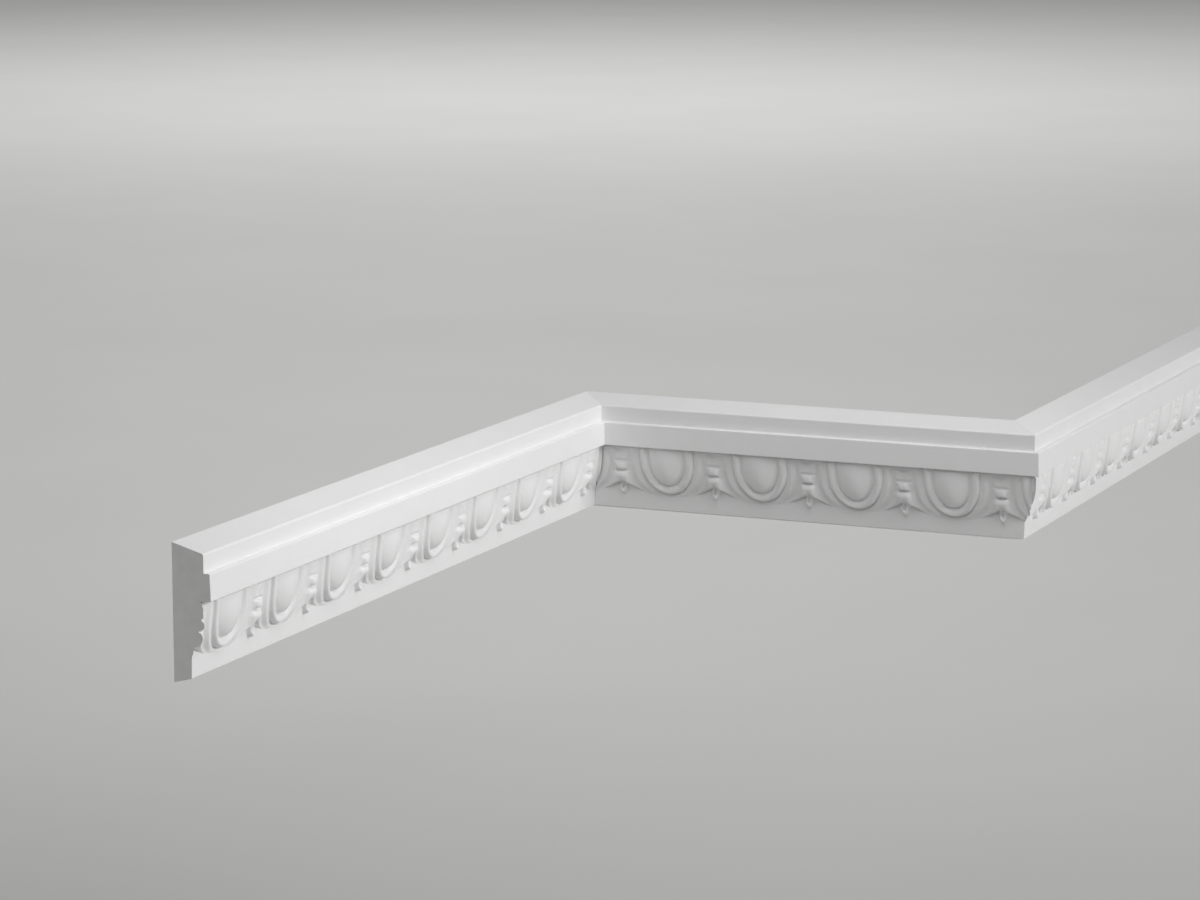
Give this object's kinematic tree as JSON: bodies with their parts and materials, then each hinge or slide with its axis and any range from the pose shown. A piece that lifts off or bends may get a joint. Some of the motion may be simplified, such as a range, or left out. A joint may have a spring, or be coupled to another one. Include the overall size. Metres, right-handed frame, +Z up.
{
  "type": "panel moulding",
  "caption": "Egg-and-dart panel moulding for a wall, in three lengths mitred round an inner and an outer corner, with plain fascias above and below the carved band.",
  "frame": {"origin": "middle of the left length's wall face, at mid height", "axes": "+X along the left and right walls, to the right as seen from the room; +Y into the left wall; +Z up"},
  "size_m": [1.2, 0.3742, 0.09],
  "materials": {
    "left_run": "white primed rigid foam casting, soft satin skin",
    "return_run": "white primed rigid foam casting, soft satin skin",
    "right_run": "white primed rigid foam casting, soft satin skin"
  },
  "bodies": {
    "root": {"left_run": "left_run", "return_run": "return_run", "right_run": "right_run"}
  },
  "joints": []
}
